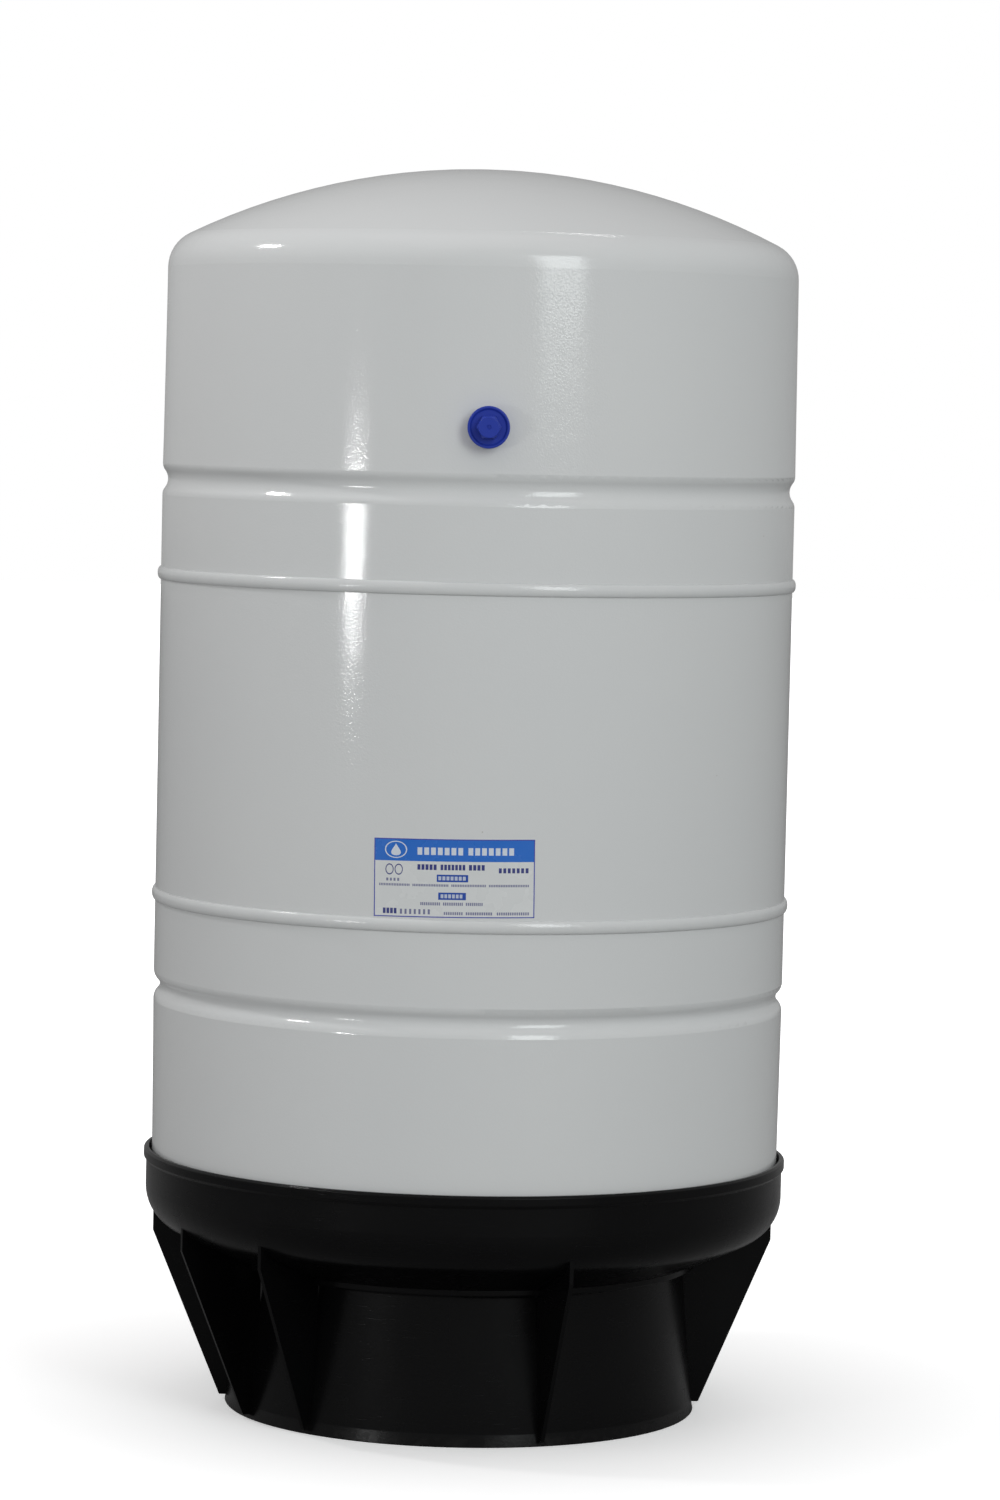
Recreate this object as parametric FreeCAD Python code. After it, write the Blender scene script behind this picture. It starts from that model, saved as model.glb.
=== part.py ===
"""Pre-charged diaphragm water storage tank, standing on a moulded base.

Row frame, millimetres: +Z up the tank's axis, z = 0 on the floor, -Y the side with the air valve.
The steel body is two pressed heads and a rolled middle, joined by two girth welds. A rubber
diaphragm is held between the plastic water liner and a hoop in the lower groove.
"""
import FreeCAD, Part
import math
import os

V = FreeCAD.Vector

# ---- Steel body ----
BODY_RADIUS = 203.5            # outside of the rolled middle
SKIRT_TAPER = 1.0              # how much smaller a head is where its knuckle starts
SHELL_WALL = 1.5
TANK_BOTTOM = 74.4             # apex of the lower head above the floor
TANK_TOP = 799.4
CROWN_RADIUS = 420.0
KNUCKLE_RADIUS = 24.5
UPPER_HEAD_HEIGHT = 262.3      # from its apex to the weld
LOWER_HEAD_HEIGHT = 256.6
WELD_HEIGHT = 8.2
WELD_PROUD = 2.0
WELD_ROOT_GAP = 1.2
UPPER_GROOVE_FROM_WELD = 60.1
UPPER_GROOVE_DEPTH = 3.4
UPPER_GROOVE_HALF = 10.0
LOWER_GROOVE_FROM_WELD = 59.3
LOWER_GROOVE_DEPTH = 4.0
LOWER_GROOVE_HALF = 9.3

# ---- Diaphragm, liner and the hoop that holds them ----
LINER_WALL = 1.2
DIAPHRAGM_WALL = 2.0
HOOP_WALL = 1.6
HOOP_HALF_HEIGHT = 13.0
HOOP_TO_WEB_GAP = 0.5
LINER_ABOVE_HOOP = 1.5
BOWL_HOOP_GAP = 1.5            # between the hoop's narrowest inside and the bowl
BOWL_DRAFT = 4.0               # how much smaller the bowl's radius is at its knuckle
BOWL_KNUCKLE = 36.0
BOWL_ABOVE_FLANGE = 1.2
BOSS_RADIUS = 40.0
BOSS_RISE = 3.0
PAD_RADIUS = 38.0
PAD_THICKNESS = 4.0

# ---- Water connection ----
PORT_THREAD_RADIUS = 13.2      # pipe thread at the lower end
PORT_THREAD_LENGTH = 16.5
PORT_WALL = 3.7
PORT_CHAMFER = 1.0
PORT_RELIEF_DEPTH = 0.6        # undercut between the pipe thread and the shank
PORT_RELIEF_HEIGHT = 2.5
PORT_SHANK_STEP = 0.8          # how much larger the shank is than the pipe thread
PORT_SHANK_PAST_NUT = 1.2
PORT_FLANGE_THICKNESS = 3.5
PORT_HOLE_CLEARANCE = 0.3
O_RING_FROM_SHANK = 6.0
O_RING_SECTION = 2.6
FLANGE_PAST_O_RING = 7.0
PORT_WASHER_WIDTH = 9.0
PORT_WASHER_THICKNESS = 1.8
PORT_NUT_WALL = 5.0            # from the shank to a flat
PORT_NUT_HEIGHT = 9.0
THREAD_CLEARANCE = 0.05

# ---- Air valve, measured outwards from the body ----
VALVE_FROM_GROOVE = 38.2
STEM_RADIUS = 6.0
STEM_HOLE_CLEARANCE = 0.15
STEM_FLANGE_WIDTH = 4.0
STEM_FLANGE_THICKNESS = 2.5
STEM_TAIL_STEP = 1.4
STEM_TAIL_LENGTH = 3.0
STEM_PAST_NUT = 0.5
STEM_TIP = 14.0
CAP_THREAD_RADIUS = 3.875
CAP_THREAD_PITCH = 0.794
CAP_THREAD_DEPTH = 0.4
GASKET_THICKNESS = 2.0
VALVE_WASHER_WIDTH = 3.0
VALVE_WASHER_THICKNESS = 1.2
VALVE_NUT_WALL = 2.5           # from the stem to a flat
VALVE_NUT_HEIGHT = 4.0
VALVE_NUT_TURN = 12.0
CORE_HEAD_RADIUS = 2.6
CORE_BARREL_RADIUS = 1.9
CORE_HEAD_LENGTH = 4.8
CORE_HEAD_BELOW_TIP = 0.8
CORE_BOTTOM = -3.0
CORE_CLEARANCE = 0.05
PIN_RADIUS = 0.5
PIN_TIP_BELOW_STEM = 0.4
PIN_SHOULDER_RADIUS = 0.95
PIN_SHOULDER_W = 4.0
PIN_CUP_RADIUS = 1.6
SEAT_THICKNESS = 1.2
CUP_THICKNESS = 1.0
SPRING_WIRE_RADIUS = 0.16
SPRING_TURNS = 7.0

# ---- Valve cap ----
CAP_LIP = 0.8                  # gap between the skirt and the body
CAP_NUT_GAP = 1.485            # between the nut's corners and the skirt
CAP_SKIRT_WALL = 1.2
CAP_RIM_DRAFT = 0.45
CAP_NUT_END_GAP = 1.4
CAP_FLOOR = 1.6
CAP_DISH_DEPTH = 1.2
CAP_END_WALL = 2.2
CAP_HEX_BASE = 13.8
CAP_HEX_TOP = 12.8
CAP_BORE_CLEARANCE = 0.1
CAP_WASHER_THICKNESS = 1.3
GATE_RADIUS = 1.6

# ---- Label ----
LABEL_AZIMUTH = -4.2           # its middle, in degrees from the valve, + towards +X
LABEL_WIDTH = 99.45
LABEL_ABOVE_WELD = 1.3
LABEL_HEIGHT = 48.4
LABEL_THICKNESS = 0.15

# ---- Base ----
STAND_WALL = 3.2
STAND_CLEARANCE = 0.5
RIM_ABOVE_KNUCKLE = 25.1
RIM_GAP = 2.1                  # between the head's skirt and the rim's mouth
RIM_LIP = 1.6
RIM_LIP_HEIGHT = 6.0
DRUM_TOP_RADIUS = 143.2
DRUM_WALL = 3.0
COLLAR_STEP = 8.8
COLLAR_BELOW_CUP = 4.0
FOOT_RADIUS = 152.4
FOOT_HEIGHT = 8.0
FOOT_FLARE = 1.6
FOOT_CHAMFER = 0.7
FIN_INSIDE_SKIRT = 1.5
FIN_SHOULDER_BELOW_KNUCKLE = 31.0
FIN_PAST_FOOT = 3.8
FIN_FOOT_Z = 3.0
FIN_THICKNESS = 2.6
FIN_AZIMUTHS = (-89.6, -63.4, -40.1, 18.3)   # repeated half a turn round
NOTCH_WIDTH = 44.0
NOTCH_HEIGHT = 70.0

# ---- Worked out ----
SKIRT_RADIUS = BODY_RADIUS - SKIRT_TAPER
UPPER_WELD_Z = TANK_TOP - UPPER_HEAD_HEIGHT
LOWER_WELD_Z = TANK_BOTTOM + LOWER_HEAD_HEIGHT
UPPER_GROOVE_Z = UPPER_WELD_Z + UPPER_GROOVE_FROM_WELD
LOWER_GROOVE_Z = LOWER_WELD_Z - LOWER_GROOVE_FROM_WELD
VALVE_Z = UPPER_GROOVE_Z + VALVE_FROM_GROOVE
VALVE_WASHER_RADIUS = STEM_RADIUS + VALVE_WASHER_WIDTH
PORT_SHANK_RADIUS = PORT_THREAD_RADIUS + PORT_SHANK_STEP
PORT_HOLE_RADIUS = PORT_SHANK_RADIUS + PORT_HOLE_CLEARANCE
CLAMP_STACK = SHELL_WALL + LINER_WALL + DIAPHRAGM_WALL
GROOVE_LIP_RADIUS = CLAMP_STACK + HOOP_WALL + 0.8
LOWER_CROWN_Z = TANK_BOTTOM + CROWN_RADIUS
UPPER_CROWN_Z = TANK_TOP - CROWN_RADIUS
HEAD_ANGLE = math.asin((SKIRT_RADIUS - KNUCKLE_RADIUS) / (CROWN_RADIUS - KNUCKLE_RADIUS))
KNUCKLE_RISE = (CROWN_RADIUS - KNUCKLE_RADIUS) * math.cos(HEAD_ANGLE)
LOWER_KNUCKLE_Z = LOWER_CROWN_Z - KNUCKLE_RISE
WATER_SIDE = SHELL_WALL + LINER_WALL
FLANGE_TOP = TANK_BOTTOM + WATER_SIDE + PORT_FLANGE_THICKNESS
BIG = 400.0


# ---- Drawing helpers: a section is a face in the plane of r and z ----
def at(r, z):
    return V(r, 0, z)


def line(p, q):
    return Part.LineSegment(p, q).toShape()


def arc(p, through, q):
    return Part.Arc(p, through, q).toShape()


def face(edges):
    return Part.Face(Part.Wire(Part.__sortEdges__(edges)))


def outline(corners):
    """A section from corners (r, z) or (r, z, rounding), in order."""
    points = [at(c[0], c[1]) for c in corners]
    edges = []
    starts = []
    ends = []
    for i, corner in enumerate(corners):
        here = points[i]
        if len(corner) == 2:
            starts.append(here)
            ends.append(here)
            continue
        to_last = (points[i - 1] - here).normalize()
        to_next = (points[(i + 1) % len(points)] - here).normalize()
        half = to_last.getAngle(to_next) / 2
        setback = corner[2] / math.tan(half)
        centre = here + (to_last + to_next).normalize() * (corner[2] / math.sin(half))
        starts.append(here + to_last * setback)
        ends.append(here + to_next * setback)
        middle = centre + (here - centre).normalize() * corner[2]
        edges.append(arc(starts[i], middle, ends[i]))
    for i in range(len(points)):
        edges.append(line(ends[i - 1], starts[i]))
    return face(edges)


def box_section(r0, r1, z0, z1):
    return outline([(r0, z0), (r1, z0), (r1, z1), (r0, z1)])


def spin(section, degrees=360):
    return section.revolve(V(0, 0, 0), V(0, 0, 1), degrees)


def ring(r0, r1, z0, z1):
    return spin(box_section(r0, r1, z0, z1))


def rod(radius, z0, z1):
    return Part.makeCylinder(radius, z1 - z0, V(0, 0, z0))


def hexagon(flats, z, turn=0.0):
    corner = flats / math.sqrt(3)
    angles = [math.radians(turn + 60 * i) for i in range(7)]
    return Part.makePolygon([V(corner * math.cos(a), corner * math.sin(a), z) for a in angles])


def hex_nut(flats, bore, z0, z1, turn=0.0):
    """A hexagon nut with its corners chamfered at both ends."""
    body = Part.Face(hexagon(flats, z0, turn)).extrude(V(0, 0, z1 - z0))
    corner = flats / math.sqrt(3)
    drop = (corner - flats / 2) * 0.6
    barrel = outline([(0, z0), (flats / 2, z0), (corner, z0 + drop), (corner, z1 - drop),
                      (flats / 2, z1), (0, z1)])
    return body.common(spin(barrel)).cut(rod(bore, z0 - 1, z1 + 1))


def cylinder_thread(radius, depth, pitch, z0, z1, tip_chamfer):
    """The outside of a threaded rod as a section down to the axis: V rings at the pitch."""
    corners = [(0, z0), (radius, z0)]
    turns = int((z1 - tip_chamfer - z0 - pitch) / pitch)
    for i in range(turns):
        start = z0 + pitch * (i + 0.5)
        corners += [(radius, start), (radius - depth, start + pitch / 2), (radius, start + pitch * 0.9)]
    corners += [(radius, z1 - tip_chamfer), (radius - tip_chamfer, z1), (0, z1)]
    return outline(corners)


# ---- The tank's outline, drawn in from its outside by any inset ----
def head_edges(crown_z, up, inset):
    """Crown and knuckle of one end, from the axis out to the skirt. up is 1 or -1."""
    crown = CROWN_RADIUS - inset
    knuckle = KNUCKLE_RADIUS - inset
    knuckle_r = SKIRT_RADIUS - KNUCKLE_RADIUS
    knuckle_z = crown_z + up * KNUCKLE_RISE

    def on_crown(a):
        return at(crown * math.sin(a), crown_z + up * crown * math.cos(a))

    def on_knuckle(a):
        return at(knuckle_r + knuckle * math.sin(a), knuckle_z + up * knuckle * math.cos(a))

    right = math.pi / 2
    return [arc(on_crown(0), on_crown(HEAD_ANGLE / 2), on_crown(HEAD_ANGLE)),
            arc(on_knuckle(HEAD_ANGLE), on_knuckle((HEAD_ANGLE + right) / 2), on_knuckle(right))]


def groove_edges(z, depth, half, inset):
    """A rolled groove: a rounded lip, a hollow and a rounded lip, from the bottom up."""
    reach = (half ** 2 + depth ** 2) / (2 * depth)
    turn = 2 * math.atan(depth / half)
    lip = GROOVE_LIP_RADIUS - inset
    hollow = reach - GROOVE_LIP_RADIUS + inset
    lip_r = BODY_RADIUS - GROOVE_LIP_RADIUS
    hollow_r = lip_r + reach * math.cos(turn)

    def on_lip(side, a):
        return at(lip_r + lip * math.cos(a), z + side * (half - lip * math.sin(a)))

    return [arc(on_lip(-1, 0), on_lip(-1, turn / 2), on_lip(-1, turn)),
            arc(on_lip(-1, turn), at(hollow_r - hollow, z), on_lip(1, turn)),
            arc(on_lip(1, turn), on_lip(1, turn / 2), on_lip(1, 0))]


def tank_section(inset):
    """Everything inside the surface that lies inset below the tank's outside."""
    low = LOWER_GROOVE_Z - LOWER_GROOVE_HALF
    high = UPPER_GROOVE_Z + UPPER_GROOVE_HALF
    body = BODY_RADIUS - inset
    skirt = SKIRT_RADIUS - inset
    upper_knuckle_z = UPPER_CROWN_Z + KNUCKLE_RISE
    edges = head_edges(LOWER_CROWN_Z, -1, inset)
    edges.append(line(at(skirt, LOWER_KNUCKLE_Z), at(body, low)))
    edges += groove_edges(LOWER_GROOVE_Z, LOWER_GROOVE_DEPTH, LOWER_GROOVE_HALF, inset)
    edges.append(line(at(body, LOWER_GROOVE_Z + LOWER_GROOVE_HALF),
                      at(body, UPPER_GROOVE_Z - UPPER_GROOVE_HALF)))
    edges += groove_edges(UPPER_GROOVE_Z, UPPER_GROOVE_DEPTH, UPPER_GROOVE_HALF, inset)
    edges.append(line(at(body, high), at(skirt, upper_knuckle_z)))
    edges += head_edges(UPPER_CROWN_Z, 1, inset)
    edges.append(line(at(0, TANK_BOTTOM + inset), at(0, TANK_TOP - inset)))
    return face(edges)


def layer(outer, inner, z0, z1):
    """The section between two insets, kept from z0 to z1."""
    between = tank_section(outer).cut(tank_section(inner))
    return between.common(box_section(0, BIG, z0, z1))


def crown_z(r, inset):
    """Height of the lower crown at radius r."""
    return LOWER_CROWN_Z - math.sqrt((CROWN_RADIUS - inset) ** 2 - r ** 2)


def crown_arc(r0, r1, inset):
    middle = (r0 + r1) / 2
    return arc(at(r0, crown_z(r0, inset)), at(middle, crown_z(middle, inset)), at(r1, crown_z(r1, inset)))


def upper_skirt_radius(z):
    """Outside radius of the upper head's slightly tapered skirt."""
    low = UPPER_GROOVE_Z + UPPER_GROOVE_HALF
    share = (z - low) / (UPPER_CROWN_Z + KNUCKLE_RISE - low)
    return BODY_RADIUS - SKIRT_TAPER * share


def on_valve(shape):
    """Turn a shape drawn along +Z to point out of the front of the body at the valve."""
    placed = shape.copy()
    placed.rotate(V(0, 0, 0), V(1, 0, 0), 90)
    placed.translate(V(0, -upper_skirt_radius(VALVE_Z - VALVE_WASHER_RADIUS), VALVE_Z))
    return placed


# ---- Steel body ----
def upper_shell():
    shell = spin(layer(0, SHELL_WALL, UPPER_WELD_Z + WELD_ROOT_GAP / 2, TANK_TOP + 1))
    return shell.cut(on_valve(rod(STEM_RADIUS + STEM_HOLE_CLEARANCE, -20, 20)))


def middle_shell():
    return spin(layer(0, SHELL_WALL, LOWER_WELD_Z + WELD_ROOT_GAP / 2, UPPER_WELD_Z - WELD_ROOT_GAP / 2))


def lower_shell():
    shell = spin(layer(0, SHELL_WALL, 0, LOWER_WELD_Z - WELD_ROOT_GAP / 2))
    return shell.cut(rod(PORT_HOLE_RADIUS, 0, TANK_BOTTOM + 20))


def girth_weld(z):
    """A crowned bead with its root between the two edges."""
    inside = BODY_RADIUS - SHELL_WALL
    root = WELD_ROOT_GAP / 2
    toe = WELD_HEIGHT / 2
    edges = [line(at(inside, z - root), at(BODY_RADIUS, z - root)),
             line(at(BODY_RADIUS, z - root), at(BODY_RADIUS, z - toe)),
             arc(at(BODY_RADIUS, z - toe), at(BODY_RADIUS + WELD_PROUD, z), at(BODY_RADIUS, z + toe)),
             line(at(BODY_RADIUS, z + toe), at(BODY_RADIUS, z + root)),
             line(at(BODY_RADIUS, z + root), at(inside, z + root)),
             line(at(inside, z + root), at(inside, z - root))]
    return spin(face(edges))


# ---- Inside the tank ----
def water_liner():
    top = LOWER_GROOVE_Z + HOOP_HALF_HEIGHT + LINER_ABOVE_HOOP
    liner = spin(layer(SHELL_WALL, WATER_SIDE, 0, top))
    return liner.cut(rod(PORT_HOLE_RADIUS, 0, TANK_BOTTOM + 20))


def bowl_section(inset):
    """Everything inside the hanging bowl's surface, inset from its water side."""
    top_z = LOWER_GROOVE_Z - HOOP_HALF_HEIGHT - HOOP_TO_WEB_GAP
    top_r = BODY_RADIUS - CLAMP_STACK - HOOP_WALL - LOWER_GROOVE_DEPTH - BOWL_HOOP_GAP
    low_r = top_r - BOWL_DRAFT
    crown = LOWER_CROWN_Z - FLANGE_TOP - BOWL_ABOVE_FLANGE
    angle = math.asin((low_r - BOWL_KNUCKLE) / (crown - BOWL_KNUCKLE))
    knuckle_z = LOWER_CROWN_Z - (crown - BOWL_KNUCKLE) * math.cos(angle)

    def on_crown(a):
        return at((crown - inset) * math.sin(a), LOWER_CROWN_Z - (crown - inset) * math.cos(a))

    def on_knuckle(a):
        reach = BOWL_KNUCKLE - inset
        return at(low_r - BOWL_KNUCKLE + reach * math.sin(a), knuckle_z - reach * math.cos(a))

    right = math.pi / 2
    edges = [arc(on_crown(0), on_crown(angle / 2), on_crown(angle)),
             arc(on_knuckle(angle), on_knuckle((angle + right) / 2), on_knuckle(right)),
             line(on_knuckle(right), at(top_r - inset, top_z)),
             line(at(top_r - inset, top_z), at(0, top_z)),
             line(at(0, top_z), on_crown(0))]
    return face(edges)


def boss_top():
    return FLANGE_TOP + BOWL_ABOVE_FLANGE + DIAPHRAGM_WALL + BOSS_RISE


def diaphragm():
    """One moulding: clamped rim, web under the hoop, hanging bowl and a flat boss in its middle."""
    web_top = LOWER_GROOVE_Z - HOOP_HALF_HEIGHT - HOOP_TO_WEB_GAP
    web_bottom = web_top - DIAPHRAGM_WALL
    rim = layer(WATER_SIDE, CLAMP_STACK, web_bottom, LOWER_GROOVE_Z + HOOP_HALF_HEIGHT)
    bowl = bowl_section(0)
    inside = bowl_section(DIAPHRAGM_WALL)
    web = box_section(0, BIG, web_bottom, web_top).common(tank_section(WATER_SIDE)).cut(inside)
    wall = bowl.cut(inside)
    apex = FLANGE_TOP + BOWL_ABOVE_FLANGE
    boss = box_section(0, BOSS_RADIUS, apex, boss_top()).common(bowl)
    return spin(rim).fuse([spin(web), spin(wall), spin(boss)]).removeSplitter()


def diaphragm_pad():
    low = boss_top()
    high = low + PAD_THICKNESS
    edge = PAD_THICKNESS / 4
    return spin(outline([(0, low), (PAD_RADIUS, low, edge), (PAD_RADIUS, high, edge), (0, high)]))


def clamp_hoop():
    return spin(layer(CLAMP_STACK, CLAMP_STACK + HOOP_WALL, LOWER_GROOVE_Z - HOOP_HALF_HEIGHT,
                      LOWER_GROOVE_Z + HOOP_HALF_HEIGHT))


# ---- Water connection, under the tank ----
PORT_BORE_RADIUS = PORT_THREAD_RADIUS - PORT_WALL
PORT_NUT_TOP = TANK_BOTTOM - PORT_WASHER_THICKNESS
SHANK_END_Z = PORT_NUT_TOP - PORT_NUT_HEIGHT - PORT_SHANK_PAST_NUT
THREAD_TOP_Z = SHANK_END_Z - PORT_RELIEF_HEIGHT
PORT_END_Z = THREAD_TOP_Z - PORT_THREAD_LENGTH - PORT_CHAMFER
O_RING_RADIUS = PORT_SHANK_RADIUS + O_RING_FROM_SHANK
PORT_FLANGE_RADIUS = O_RING_RADIUS + FLANGE_PAST_O_RING
PORT_WASHER_RADIUS = PORT_SHANK_RADIUS + PORT_WASHER_WIDTH


def o_ring_z():
    """Height of the middle of the ring's section, where it just touches the liner."""
    return crown_z(O_RING_RADIUS, WATER_SIDE + O_RING_SECTION / 2)


def water_connection():
    """Flange on the liner, shank through the shell, relief and pipe thread."""
    thread = PORT_THREAD_RADIUS
    shank = PORT_SHANK_RADIUS
    relief = thread - PORT_RELIEF_DEPTH
    seat = crown_z(shank, WATER_SIDE)
    corners = [at(PORT_FLANGE_RADIUS, crown_z(PORT_FLANGE_RADIUS, WATER_SIDE)),
               at(PORT_FLANGE_RADIUS, FLANGE_TOP - 1), at(PORT_FLANGE_RADIUS - 1, FLANGE_TOP),
               at(PORT_BORE_RADIUS, FLANGE_TOP), at(PORT_BORE_RADIUS, PORT_END_Z),
               at(thread - PORT_CHAMFER, PORT_END_Z), at(thread, PORT_END_Z + PORT_CHAMFER),
               at(thread, THREAD_TOP_Z), at(relief, THREAD_TOP_Z + 0.5), at(relief, SHANK_END_Z),
               at(shank - 0.5, SHANK_END_Z), at(shank, SHANK_END_Z + 0.5), at(shank, seat)]
    edges = [line(corners[i], corners[i + 1]) for i in range(len(corners) - 1)]
    edges.append(crown_arc(shank, PORT_FLANGE_RADIUS, WATER_SIDE))
    half = O_RING_SECTION / 2
    top = o_ring_z() + half
    groove = ring(O_RING_RADIUS - half, O_RING_RADIUS + half, top - 2 * O_RING_SECTION, top)
    return spin(face(edges)).cut(groove)


def connection_o_ring():
    return Part.makeTorus(O_RING_RADIUS, O_RING_SECTION / 2, V(0, 0, o_ring_z()))


def connection_washer():
    bore = PORT_HOLE_RADIUS
    flat = PORT_NUT_TOP
    edges = [line(at(bore, crown_z(bore, 0)), at(bore, flat)),
             line(at(bore, flat), at(PORT_WASHER_RADIUS, flat)),
             line(at(PORT_WASHER_RADIUS, flat), at(PORT_WASHER_RADIUS, crown_z(PORT_WASHER_RADIUS, 0))),
             crown_arc(bore, PORT_WASHER_RADIUS, 0)]
    return spin(face(edges))


def connection_lock_nut():
    flats = 2 * (PORT_SHANK_RADIUS + PORT_NUT_WALL)
    bore = PORT_SHANK_RADIUS + THREAD_CLEARANCE
    return hex_nut(flats, bore, PORT_NUT_TOP - PORT_NUT_HEIGHT, PORT_NUT_TOP)


# ---- Air valve, drawn along +Z and placed by on_valve ----
STEM_FLANGE_RADIUS = STEM_RADIUS + STEM_FLANGE_WIDTH
NUT_TOP = VALVE_WASHER_THICKNESS + VALVE_NUT_HEIGHT
STEM_SHOULDER = NUT_TOP + STEM_PAST_NUT
VALVE_NUT_FLATS = 2 * (STEM_RADIUS + VALVE_NUT_WALL)
CORE_HEAD_TOP = STEM_TIP - CORE_HEAD_BELOW_TIP
CORE_HEAD_BASE = CORE_HEAD_TOP - CORE_HEAD_LENGTH
CORE_TAPER = 0.9               # length of the cone that the core's seal presses on
HEAD_BORE = CORE_HEAD_RADIUS + CORE_CLEARANCE
BARREL_BORE = CORE_BARREL_RADIUS + 0.3
GASKET_BASE = -SHELL_WALL - GASKET_THICKNESS
FLANGE_BASE = GASKET_BASE - STEM_FLANGE_THICKNESS
STEM_TAIL_END = FLANGE_BASE - STEM_TAIL_LENGTH


def valve_stem():
    neck = CAP_THREAD_RADIUS
    tail = STEM_RADIUS - STEM_TAIL_STEP
    body = outline([(0, STEM_TAIL_END), (tail, STEM_TAIL_END), (tail, FLANGE_BASE),
                    (STEM_FLANGE_RADIUS, FLANGE_BASE), (STEM_FLANGE_RADIUS, GASKET_BASE),
                    (STEM_RADIUS, GASKET_BASE), (STEM_RADIUS, STEM_SHOULDER - 0.5),
                    (STEM_RADIUS - 0.5, STEM_SHOULDER), (neck, STEM_SHOULDER), (0, STEM_SHOULDER)])
    thread = cylinder_thread(neck, CAP_THREAD_DEPTH, CAP_THREAD_PITCH, STEM_SHOULDER, STEM_TIP, 0.5)
    bore = outline([(0, STEM_TAIL_END - 1), (BARREL_BORE, STEM_TAIL_END - 1),
                    (BARREL_BORE, CORE_HEAD_BASE - CORE_TAPER), (HEAD_BORE, CORE_HEAD_BASE),
                    (HEAD_BORE, STEM_TIP + 1), (0, STEM_TIP + 1)])
    return on_valve(spin(body).fuse(spin(thread)).removeSplitter().cut(spin(bore)))


def valve_stem_gasket():
    disc = on_valve(ring(STEM_RADIUS + STEM_HOLE_CLEARANCE, STEM_FLANGE_RADIUS, GASKET_BASE, 0))
    return disc.common(spin(tank_section(SHELL_WALL)))


def valve_washer():
    return on_valve(ring(STEM_RADIUS + STEM_HOLE_CLEARANCE, VALVE_WASHER_RADIUS, 0, VALVE_WASHER_THICKNESS))


def valve_lock_nut():
    bore = STEM_RADIUS + THREAD_CLEARANCE
    return on_valve(hex_nut(VALVE_NUT_FLATS, bore, VALVE_WASHER_THICKNESS, NUT_TOP, VALVE_NUT_TURN))


def valve_core_body():
    """Threaded head with a key slot, and a barrel with the spring's ledge at its inner end."""
    ledge = CORE_BOTTOM + 1.0
    outside = outline([(0, CORE_BOTTOM), (CORE_BARREL_RADIUS, CORE_BOTTOM),
                       (CORE_BARREL_RADIUS, CORE_HEAD_BASE), (CORE_HEAD_RADIUS, CORE_HEAD_BASE),
                       (CORE_HEAD_RADIUS, CORE_HEAD_TOP), (0, CORE_HEAD_TOP)])
    spring_bore = PIN_SHOULDER_RADIUS + 0.3
    pin_way = PIN_RADIUS + 0.2
    inside = outline([(0, CORE_BOTTOM - 1), (pin_way, CORE_BOTTOM - 1), (pin_way, ledge), (spring_bore, ledge),
                      (spring_bore, CORE_HEAD_BASE), (pin_way, CORE_HEAD_BASE), (pin_way, STEM_TIP),
                      (0, STEM_TIP)])
    slot = Part.makeBox(2 * CORE_HEAD_RADIUS, 2.2, 2.5,
                        V(-CORE_HEAD_RADIUS, -1.1, CORE_HEAD_TOP - 2.0))
    return on_valve(spin(outside).cut(spin(inside)).cut(slot))


def valve_core_seal():
    """A cone of soft plastic between the core's shoulder and the cone in the stem."""
    inner = CORE_BARREL_RADIUS + 0.02
    low = CORE_HEAD_BASE - CORE_TAPER
    return on_valve(spin(outline([(inner, low), (BARREL_BORE - 0.02, low), (HEAD_BORE - 0.05, CORE_HEAD_BASE),
                                  (inner, CORE_HEAD_BASE)])))


def valve_pin():
    """The pin, its spring shoulder and the cup that carries the seat."""
    tip = STEM_TIP - PIN_TIP_BELOW_STEM
    cup_top = CORE_BOTTOM - SEAT_THICKNESS
    cup_low = cup_top - CUP_THICKNESS
    shoulder = PIN_SHOULDER_W + 0.6
    return on_valve(spin(outline([(0, cup_low), (PIN_CUP_RADIUS, cup_low), (PIN_CUP_RADIUS, cup_top),
                                  (PIN_RADIUS, cup_top), (PIN_RADIUS, PIN_SHOULDER_W),
                                  (PIN_SHOULDER_RADIUS, PIN_SHOULDER_W), (PIN_SHOULDER_RADIUS, shoulder),
                                  (PIN_RADIUS, shoulder), (PIN_RADIUS, tip, 0.2), (0, tip)])))


def valve_pin_seat():
    return on_valve(ring(PIN_RADIUS, PIN_CUP_RADIUS - 0.1, CORE_BOTTOM - SEAT_THICKNESS, CORE_BOTTOM))


def valve_pin_spring():
    """A coil between the ledge in the barrel and the pin's shoulder."""
    coil_radius = PIN_RADIUS + (PIN_SHOULDER_RADIUS + 0.3 - PIN_RADIUS) / 2
    low = CORE_BOTTOM + 1.0 + 1.5 * SPRING_WIRE_RADIUS
    length = PIN_SHOULDER_W - 1.5 * SPRING_WIRE_RADIUS - low
    helix = Part.makeHelix(length / SPRING_TURNS, length, coil_radius)
    section = Part.Wire(Part.makeCircle(SPRING_WIRE_RADIUS, V(coil_radius, 0, 0), V(0, 1, 0)))
    coil = Part.Wire(helix.Edges).makePipeShell([section], True, True)
    coil.translate(V(0, 0, low))
    return on_valve(coil)


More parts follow.
